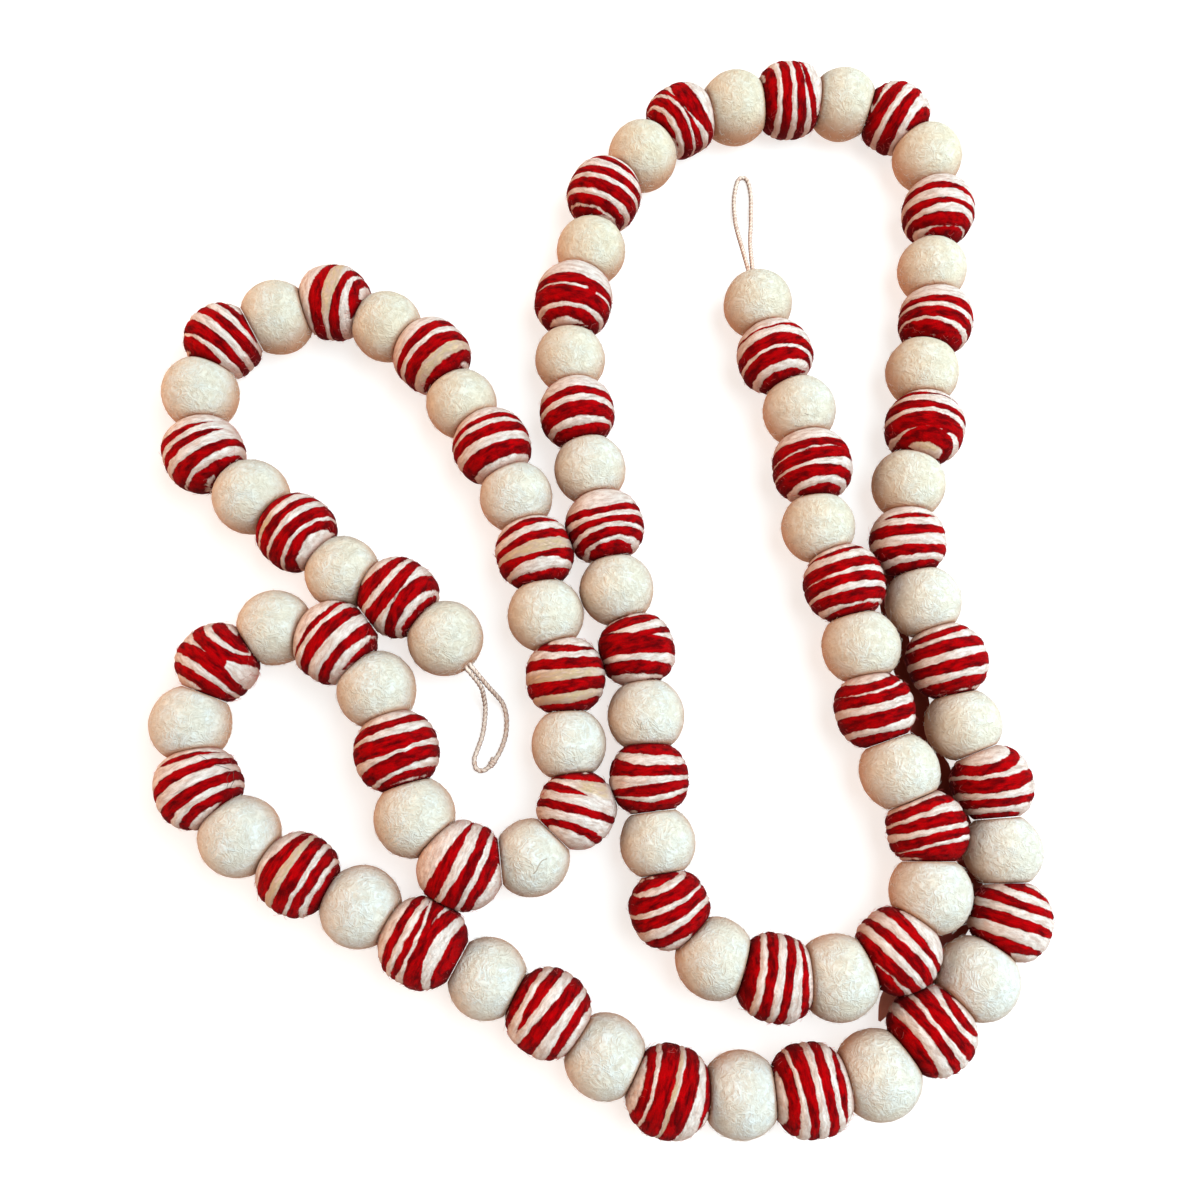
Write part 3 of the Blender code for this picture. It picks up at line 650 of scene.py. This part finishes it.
def make_ball(places, index, materials):
    """One felted ball, plain or wound with rovings."""
    number = index + 1
    ball = places[index]
    centre, radius = ball
    striped = number % 2 == 0
    around = STRIPED_AROUND if striped else WHITE_AROUND
    bands = STRIPED_BANDS if striped else WHITE_BANDS
    entry, leave = cuts(places, index)
    points, from_rim = ball_surface(ball, entry, leave, around, bands, SHOULDER if striped else 0)
    forward, side, top = ball_axes(places, index)
    offset = points - centre
    heights = offset @ forward
    angles = np.arctan2(offset @ side, offset @ top)
    outward = offset / np.linalg.norm(offset, axis=1)[:, None]
    rise = (STRIPED_LUMP if striped else WHITE_LUMP) * uneven(points, LUMP_SIZE, number)
    rise += RIPPLE * uneven(points, RIPPLE_SIZE, number + 100) + (0 if striped else WHITE_SWELL)
    if striped:
        wander = ROVING_WANDER * uneven(points, WANDER_SIZE, number + 200)
        heights = heights - np.sign(heights) * np.clip(RIM_BAND - from_rim, 0, RIM_BAND) + wander
        depth = red_depth(number, heights, angles)
        depth = with_red_spots(number, depth, heights, angles, radius)
        climb = np.clip(np.abs(depth) / ROVING_RISE, 0, 1)
        rise += ROVING_RELIEF * (np.sqrt(1 - (1 - climb) ** 2) - ROVING_SUNK)
    rise *= np.clip(from_rim / RIM_FADE, 0, 1)
    points = settle(points + outward * rise[:, None], ball, beside(places, index))
    name = f"striped_ball_{number:02d}" if striped else f"white_ball_{number:02d}"
    mesh = closed_mesh(name, points, around)
    # painted shade under the ball and in the creases where it touches its neighbours
    add_attribute(mesh, "shelter", shelter(mesh, from_rim))
    if not striped:
        # painted warm light towards the far end, with a random tint for each ball
        add_attribute(mesh, "age", np.full(len(points), ball_painted_warmth_and_tint(centre)))
    else:
        add_attribute(mesh, "red_depth", depth / MM)
        add_attribute(mesh, "tan_share", tan_share(number, heights, angles, radius))
        add_attribute(mesh, "round_it", angles * radius / MM)
        add_attribute(mesh, "along", heights / MM + number * NOISE_STEP)
    piece = add_piece(name, mesh, materials["striped" if striped else "white"])
    row = index // 2 + 1
    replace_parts(piece, "end_ball" if number == len(places) else f"ball_pair_{row:02d}")
    return piece


def loop_points(ball, outward, first_leg_side, table):
    """Points of a loop that leaves a ball's pad by one leg and comes back by the other."""
    side = unit(np.cross(UP, outward)) * first_leg_side
    start = ball[0] + outward * (pad_distance(ball) + GAP)
    first = start + side * LEG_SPACING / 2
    leaving = [first, first + outward * STRAIGHT_RUN]
    back = [point - side * LEG_SPACING for point in reversed(leaving)]
    return leaving + [np.array(point) * MM for point in table] + back


def smooth_route(points, step):
    """Evenly spaced points of a Catmull-Rom curve through the given points."""
    knots = [points[0] * 2 - points[1], *points, points[-1] * 2 - points[-2]]
    shares = np.arange(24)[:, None] / 24
    fine = []
    for a, b, c, d in zip(knots, knots[1:], knots[2:], knots[3:]):
        fine.append((b * 2 + (c - a) * shares + (a * 2 - b * 5 + c * 4 - d) * shares ** 2
                     + (b * 3 - a - c * 3 + d) * shares ** 3) / 2)
    fine = np.concatenate([*fine, [points[-1]]])
    lengths = np.concatenate([[0], np.cumsum(np.linalg.norm(np.diff(fine, axis=0), axis=1))])
    wanted = np.linspace(0, lengths[-1], round(lengths[-1] / step) + 1)
    return np.stack([np.interp(wanted, lengths, fine[:, axis]) for axis in range(3)], axis=1)


def tube(route, reach, turns_per_metre=0, across=UP):
    """Rings of points along a route. Reach is how far out each point of a ring is."""
    angles = 2 * math.pi * np.arange(len(reach)) / len(reach)
    along = np.gradient(route, axis=0)
    rings = []
    travelled = 0
    for place, point in enumerate(route):
        forward = unit(along[place])
        side = unit(np.cross(forward, across))
        top = np.cross(side, forward)
        if place:
            travelled += np.linalg.norm(point - route[place - 1])
        turned = angles + 2 * math.pi * travelled * turns_per_metre
        turn = side * np.sin(turned)[:, None] + top * np.cos(turned)[:, None]
        rings.append(point + turn * reach[:, None])
    return np.concatenate(rings)


def two_ply_reach():
    """The outline of two plies side by side, as how far out each point of a ring is."""
    angles = 2 * math.pi * np.arange(STRING_AROUND) / STRING_AROUND
    return PLY_OFFSET * np.abs(np.cos(angles)) + np.sqrt(
        PLY_RADIUS ** 2 - (PLY_OFFSET * np.sin(angles)) ** 2)


def string_painted_shade(mesh):
    """How much painted shade each point of a string gets on its sides and underside, far from any
    crease.
    """
    return shelter(mesh, 10 * CREASE_WIDTH) ** STRING_PAINTED_SHADE_POWER


def make_string(name, points, radius, material, node, across=UP):
    """A short plain length of string, which belongs to a loop."""
    route = smooth_route([np.array(point) for point in points], STRING_STEP)
    rings = tube(route, np.full(STRING_AROUND, radius), across=across)
    rings[:, 2] = np.maximum(rings[:, 2], 0)
    mesh = closed_mesh(name, rings, STRING_AROUND)
    add_attribute(mesh, "shelter", string_painted_shade(mesh))
    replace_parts(add_piece(name, mesh, material), node)


def make_knot(material):
    """The knot in the end loop: a cord wound round the string, and its cut end."""
    before, tied, after = (np.array(END_LOOP[KNOT_POINT + step]) * MM for step in (-1, 0, 1))
    forward = unit(after - before)
    side = unit(np.cross(forward, UP))
    top = np.cross(side, forward)
    points = []
    for step in range(round(KNOT_TURNS * KNOT_STEPS) + 1):
        turn = 2 * math.pi * step / KNOT_STEPS
        wound = side * math.sin(turn) + top * math.cos(turn)
        along = forward * KNOT_PITCH * (step / KNOT_STEPS - KNOT_TURNS / 2)
        points.append(tied + wound * KNOT_RING + along)
    last = points[-1]
    points += [last + np.array(offset) * MM for offset in KNOT_STUB]
    make_string("end_loop_knot", points, KNOT_CORD_RADIUS, material, "end_loop", across=forward)


def make_stub(places, material):
    """The cut end of string beside the start loop."""
    points = [places[0][0] + np.array(offset) * MM for offset in START_STUB]
    make_string("start_loop_stub", points, STUB_RADIUS, material, "start_loop")


def make_hairs(name, table, sunk, pieces, places, material):
    """Hairs lying on the balls, dropped onto them from above and sunk in by a share of them."""
    vertices = []
    faces = []
    for ball, thickness, *spots in table:
        centre = places[ball - 1][0]
        mesh = pieces[ball - 1].data
        surface = BVHTree.FromPolygons([vertex.co for vertex in mesh.vertices],
                                       [face.vertices for face in mesh.polygons])
        flat = [np.array((centre[0] + x * MM, centre[1] + y * MM, 0)) for x, y in spots]
        route = smooth_route(flat, HAIR_STEP)
        for point in route:
            found = surface.ray_cast(Vector((point[0], point[1], 1)), Vector((0, 0, -1)))
            point[2] = found[0].z - sunk * thickness * MM
        first = len(vertices)
        vertices += tube(route, np.full(HAIR_AROUND, thickness * MM / 2)).tolist()
        faces += tube_faces(first, len(route), HAIR_AROUND)
    mesh = bpy.data.meshes.new(name)
    mesh.from_pydata(vertices, [], faces)
    mesh.shade_smooth()
    add_piece(name, mesh, material)


def tube_faces(first, rows, around):
    """Faces of a tube whose points start at this number."""
    faces = []
    for row in range(rows - 1):
        for step in range(around):
            near = first + row * around + step
            beyond = first + row * around + (step + 1) % around
            faces.append((near, beyond, beyond + around, near + around))
    return faces


def make_fibres(pieces, material_of):
    """Loose fibres that curl off the balls, as one piece for each kind of ball."""
    random = np.random.default_rng(7)
    for kind, first_ball in (("white", 0), ("striped", 1)):
        vertices = []
        faces = []
        for piece in pieces[first_ball::2]:
            count = len(piece.data.vertices)
            places = np.empty(3 * count, dtype=np.float32)
            normals = np.empty(3 * count, dtype=np.float32)
            piece.data.vertices.foreach_get("co", places)
            piece.data.vertex_normals.foreach_get("vector", normals)
            places = places.reshape(-1, 3).astype(float)
            normals = normals.reshape(-1, 3).astype(float)
            sides = np.nonzero(np.abs(normals[:, 2]) < FIBRE_TOP)[0]
            chosen = random.choice(sides, FIBRES_PER_BALL, replace=False)
            for number in chosen:
                outward = normals[number]
                drift = unit(np.cross(outward, random.normal(size=3)))
                bend = unit(np.cross(outward, drift)) * random.normal()
                reach = FIBRE_LENGTH * random.uniform(0.4, 1)
                lift = FIBRE_LIFT * random.uniform(0.2, 1)
                route = np.array([
                    places[number] + drift * reach * share + bend * reach * FIBRE_BEND * share ** 2
                    + outward * lift * math.sin(math.pi * FIBRE_CURL * share) * share
                    for share in FIBRE_SHARES])
                start = len(vertices)
                vertices += tube(route, np.full(FIBRE_AROUND, FIBRE_RADIUS), across=bend).tolist()
                faces += tube_faces(start, len(FIBRE_SHARES), FIBRE_AROUND)
        mesh = bpy.data.meshes.new(f"{kind}_fibres")
        mesh.from_pydata(vertices, [], faces)
        mesh.shade_smooth()
        add_piece(f"{kind}_fibres", mesh, material_of[kind])


def make_loop(name, places, index, outward, first_leg_side, table, material):
    """A hanging loop of two-ply string."""
    ball = places[index]
    points = loop_points(ball, outward, first_leg_side, table)
    points[0] = points[0] - outward * STRING_INSIDE
    points[-1] = points[-1] - outward * STRING_INSIDE
    route = smooth_route(points, STRING_STEP)
    rings = tube(route, two_ply_reach(), 1 / TWIST_PITCH)
    rings[:, 2] = np.maximum(rings[:, 2], 0)
    mesh = closed_mesh(name, rings, STRING_AROUND)
    add_attribute(mesh, "shelter", string_painted_shade(mesh))
    loop = add_piece(name, mesh, material)
    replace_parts(loop, name.replace("_string", ""))
    return loop


def add_node(tree, kind, settings=None, **inputs):
    """A shader node with its settings and its plain input values."""
    node = tree.nodes.new(kind)
    for key, value in (settings or {}).items():
        setattr(node, key, value)
    for key, value in inputs.items():
        node.inputs[key.replace("_", " ")].default_value = value
    return node


def math_node(tree, operation, first, second=None, third=None):
    """A Math node's result. Each input is a number or another node's output."""
    node = tree.nodes.new("ShaderNodeMath")
    node.operation = operation
    for slot_number, value in enumerate((first, second, third)):
        if isinstance(value, (int, float)):
            node.inputs[slot_number].default_value = value
        elif value is not None:
            tree.links.new(value, node.inputs[slot_number])
    return node.outputs[0]


def mix_colors(tree, share, first, second):
    """A colour between two, each a colour or another node's output."""
    node = add_node(tree, "ShaderNodeMix", {"data_type": "RGBA"})
    for name, value in ((0, share), (6, first), (7, second)):
        if isinstance(value, (tuple, float, int)):
            node.inputs[name].default_value = value
        else:
            tree.links.new(value, node.inputs[name])
    return node.outputs[2]


def step_up(tree, value, low, high):
    """0 below low, 1 above high, and smooth between them."""
    node = tree.nodes.new("ShaderNodeMapRange")
    node.interpolation_type = "SMOOTHSTEP"
    tree.links.new(value, node.inputs["Value"])
    node.inputs["From Min"].default_value = low
    node.inputs["From Max"].default_value = high
    return node.outputs["Result"]


def noise_value(tree, place, scale, detail=3.0, roughness=0.55, distortion=0.0):
    """Noise over a place, which is a vector output."""
    node = add_node(tree, "ShaderNodeTexNoise", Scale=scale, Detail=detail,
                    Roughness=roughness, Distortion=distortion)
    tree.links.new(place, node.inputs["Vector"])
    return node.outputs["Fac"]


def curling(tree, place, lumps, reach, stretch):
    """A place pushed about and then stretched, so that noise over it runs in curling strokes."""
    drift = add_node(tree, "ShaderNodeTexNoise", Scale=lumps, Detail=1.0)
    tree.links.new(place, drift.inputs["Vector"])
    pushed = add_node(tree, "ShaderNodeVectorMath", {"operation": "MULTIPLY_ADD"})
    tree.links.new(drift.outputs["Color"], pushed.inputs[0])
    pushed.inputs[1].default_value = (reach, reach, reach)
    tree.links.new(place, pushed.inputs[2])
    scaled = add_node(tree, "ShaderNodeVectorMath", {"operation": "MULTIPLY"})
    tree.links.new(pushed.outputs["Vector"], scaled.inputs[0])
    scaled.inputs[1].default_value = stretch
    return scaled.outputs["Vector"]


def fibre_lines(tree, value, sharpness):
    """Thin bright lines where noise passes its middle, like single fibres."""
    away = math_node(tree, "ABSOLUTE", math_node(tree, "SUBTRACT", value, 0.5))
    return math_node(tree, "SUBTRACT", 1, step_up(tree, away, 0, sharpness))


def new_cloth(name, roughness, sheen):
    """A Principled material with sheen, as its tree and shader."""
    material = bpy.data.materials.new(name)
    material.use_nodes = True
    tree = material.node_tree
    shader = tree.nodes["Principled BSDF"]
    shader.inputs["Roughness"].default_value = roughness
    shader.inputs["Sheen Weight"].default_value = sheen
    shader.inputs["Sheen Roughness"].default_value = 0.4
    shader.inputs["Specular IOR Level"].default_value = 0.15
    return material, tree, shader


def add_bump(tree, shader, height, depth, strength):
    """Bump of this depth in metres from a height."""
    bump = add_node(tree, "ShaderNodeBump", Strength=strength, Distance=depth)
    tree.links.new(height, bump.inputs["Height"])
    tree.links.new(bump.outputs["Normal"], shader.inputs["Normal"])


def with_painted_warmth_and_tint(tree, color):
    """The colour, made warmer by painted warm light on the far balls and by each ball's random tint."""
    node = add_node(tree, "ShaderNodeAttribute", {"attribute_name": "age"})
    mix = add_node(tree, "ShaderNodeMix", {"data_type": "RGBA", "blend_type": "MULTIPLY"})
    tree.links.new(node.outputs["Fac"], mix.inputs[0])
    tree.links.new(color, mix.inputs[6])
    mix.inputs[7].default_value = PAINTED_WARMTH_TINT
    return mix.outputs[2]


def with_painted_shade(tree, color, painted_shade_color):
    """The colour, changed towards a darker one by painted shade under the ball and in the creases."""
    node = add_node(tree, "ShaderNodeAttribute", {"attribute_name": "shelter"})
    return mix_colors(tree, node.outputs["Fac"], color, painted_shade_color)


def white_felt():
    """Matted off-white wool with curling fibres and shallow pits."""
    material, tree, shader = new_cloth("white_felt_fibres", 0.95, 0.05)
    place = tree.nodes.new("ShaderNodeTexCoord").outputs["Object"]
    clouds = step_up(tree, noise_value(tree, place, 170, 3.0), 0.35, 0.65)
    across = noise_value(tree, curling(tree, place, 170, 9 * MM, (260, 1250, 900)), 1.0, 2.0)
    along = noise_value(tree, curling(tree, place, 200, 9 * MM, (1250, 260, 900)), 1.0, 2.0)
    strokes = step_up(tree, math_node(tree, "MAXIMUM", across, along), 0.42, 0.68)
    pits = noise_value(tree, place, 430, 2.0, 0.5, 0.8)
    shallow = math_node(tree, "MULTIPLY", step_up(tree, pits, 0.25, 0.65), 0.55)
    worn = math_node(tree, "MULTIPLY_ADD", strokes, 0.55, shallow)
    color = mix_colors(tree, clouds, YELLOWED_WOOL, WHITE_WOOL)
    color = mix_colors(tree, worn, WHITE_WOOL_PIT, color)
    color = with_painted_warmth_and_tint(tree, color)
    color = with_painted_shade(tree, color, WHITE_WOOL_PAINTED_SHADE)
    tree.links.new(color, shader.inputs["Base Color"])
    height = math_node(tree, "MULTIPLY_ADD", pits, 1.6, strokes)
    add_bump(tree, shader, height, 0.24 * MM, 0.8)
    return material


def striped_felt():
    """Red and cream rovings, with fibres that run along them and frayed edges."""
    material, tree, shader = new_cloth("striped_felt_fibres", 0.95, 0.01)
    shader.inputs["Specular IOR Level"].default_value = 0.04
    values = {}
    for name in ("red_depth", "tan_share", "round_it", "along"):
        node = add_node(tree, "ShaderNodeAttribute", {"attribute_name": name})
        values[name] = node.outputs["Fac"]
    stretched = tree.nodes.new("ShaderNodeCombineXYZ")
    tree.links.new(math_node(tree, "MULTIPLY", values["round_it"], 0.3), stretched.inputs["X"])
    tree.links.new(values["along"], stretched.inputs["Y"])
    place = stretched.outputs["Vector"]
    frayed = math_node(tree, "SUBTRACT", noise_value(tree, place, 1.1, 4.0, 0.65), 0.5)
    depth = math_node(tree, "MULTIPLY_ADD", frayed, 1.1, values["red_depth"])
    red_share = step_up(tree, depth, -0.2, 0.14)
    clouds = step_up(tree, noise_value(tree, place, 0.8, 4.0), 0.3, 0.66)
    threads = fibre_lines(tree, noise_value(tree, place, 1.6, 3.0, 0.6, 0.8), 0.08)
    worn = math_node(tree, "MULTIPLY_ADD", threads, 0.3, math_node(tree, "MULTIPLY", clouds, 0.85))
    cream = mix_colors(tree, values["tan_share"], CREAM_WOOL, TAN_WOOL)
    pale = mix_colors(tree, worn, CREAM_WOOL_PIT, cream)
    pale = with_painted_shade(tree, pale, CREAM_WOOL_PAINTED_SHADE)
    patches = step_up(tree, noise_value(tree, place, 0.4, 3.0), 0.36, 0.6)
    deep = math_node(tree, "MULTIPLY_ADD", patches, 0.55, math_node(tree, "MULTIPLY", worn, 0.5))
    red = mix_colors(tree, deep, RED_WOOL_PIT, RED_WOOL)
    red = with_painted_shade(tree, red, RED_WOOL_PAINTED_SHADE)
    tree.links.new(mix_colors(tree, red_share, pale, red), shader.inputs["Base Color"])
    height = math_node(tree, "MULTIPLY_ADD", noise_value(tree, place, 1.4, 3.0), 1.5, threads)
    add_bump(tree, shader, height, 0.25 * MM, 0.8)
    return material


def cotton():
    """Undyed twisted cotton."""
    material, tree, shader = new_cloth("cotton_plies", 0.85, 0.2)
    place = tree.nodes.new("ShaderNodeTexCoord").outputs["Object"]
    clouds = noise_value(tree, place, 900, 3.0)
    color = mix_colors(tree, step_up(tree, clouds, 0.25, 0.6), COTTON_SHADE, COTTON)
    color = with_painted_shade(tree, color, COTTON_PAINTED_SHADE)
    tree.links.new(color, shader.inputs["Base Color"])
    add_bump(tree, shader, noise_value(tree, place, 5000, 2.0), 0.05 * MM, 0.5)
    return material


def plain_wool(name, color):
    """Wool of one colour, for hairs and fibres."""
    material, tree, shader = new_cloth(name, 0.9, 0.0)
    shader.inputs["Base Color"].default_value = color
    return material


def make_floor():
    """A plain pale floor, as large as any view needs."""
    mesh = bpy.data.meshes.new("floor")
    half = FLOOR_HALF
    mesh.from_pydata([(-half, -half, 0), (half, -half, 0), (half, half, 0), (-half, half, 0)],
                     [], [(0, 1, 2, 3)])
    material = bpy.data.materials.new("floor_paint")
    material.use_nodes = True
    shader = material.node_tree.nodes["Principled BSDF"]
    shader.inputs["Base Color"].default_value = FLOOR_PAINT
    shader.inputs["Emission Color"].default_value = FLOOR_GLOW
    shader.inputs["Emission Strength"].default_value = FLOOR_GLOW_STRENGTH
    shader.inputs["Roughness"].default_value = 0.9
    shader.inputs["Specular IOR Level"].default_value = 0.1
    mesh.materials.append(material)
    floor = bpy.data.objects.new("floor", mesh)
    floor.location.z = -FLOOR_DROP
    bpy.context.scene.collection.objects.link(floor)


def make_gap_shade(name, table, height, color):
    """A strip that lies on the floor under a narrow gap and tapers at both ends."""
    route = smooth_route([np.array((x * MM, y * MM, height)) for x, y in table], SHADE_STEP)
    along = np.gradient(route, axis=0)
    edges = []
    for place, point in enumerate(route):
        from_end = min(place, len(route) - 1 - place) * SHADE_STEP
        half = SHADE_WIDTH / 2 * min(1, SHADE_TIP + from_end / SHADE_END)
        side = unit(np.cross(along[place], UP))
        edges += [point - side * half, point + side * half]
    faces = [(2 * row, 2 * row + 1, 2 * row + 3, 2 * row + 2) for row in range(len(route) - 1)]
    mesh = bpy.data.meshes.new(name)
    mesh.from_pydata([tuple(point) for point in edges], [], faces)
    mesh.materials.append(plain_wool(f"{name}_floor", color))
    shade = bpy.data.objects.new(name, mesh)
    bpy.context.scene.collection.objects.link(shade)


def add_area_light(name, spot, aim, size, watts, color):
    """A square soft light that faces a point."""
    light = bpy.data.lights.new(name, "AREA")
    light.size = size
    light.energy = watts
    light.color = color
    holder = bpy.data.objects.new(name, light)
    holder.location = spot
    holder.rotation_mode = "QUATERNION"
    holder.rotation_quaternion = (Vector(aim) - Vector(spot)).to_track_quat("-Z", "Y")
    bpy.context.scene.collection.objects.link(holder)


def make_lights():
    """A cool window from the right, and a warm room all round."""
    for name, spot, size, watts, color in LIGHTS:
        add_area_light(name, spot, (0, 0, 0), size, watts, color)
    world = bpy.data.worlds.new("room")
    world.use_nodes = True
    background = world.node_tree.nodes["Background"]
    background.inputs["Color"].default_value = ROOM_LIGHT
    background.inputs["Strength"].default_value = ROOM_STRENGTH
    bpy.context.scene.world = world


def main():
    """Builds everything in turn, the camera and the cords first."""
    make_camera()
    places = ball_places()
    string = cotton()
    make_knot(string)
    make_stub(places, string)
    make_loop("start_loop_string", places, 0, start_pad(places), 1, START_LOOP, string)
    make_loop("end_loop_string", places, -1, end_pad(places), -1, END_LOOP, string)
    materials = {"white": white_felt(), "striped": striped_felt()}
    pieces = [make_ball(places, index, materials) for index in range(len(places))]
    make_hairs("stray_hairs", STRAY_HAIRS, 0, pieces, places, plain_wool("dark_hair", HAIR))
    make_hairs("puckers", PUCKERS, 0.3, pieces, places, plain_wool("grey_wool", PUCKERED_WOOL))
    make_fibres(pieces, {"white": plain_wool("white_fibre", WHITE_FIBRE),
                         "striped": plain_wool("striped_fibre", STRIPED_FIBRE)})
    make_floor()
    make_gap_shade("gap_shade", SHADED_GAP, -0.02 * MM, GAP_SHADE)
    make_gap_shade("paler_gap_shade", PALER_GAP, -0.03 * MM, PALER_GAP_SHADE)
    make_lights()


main()
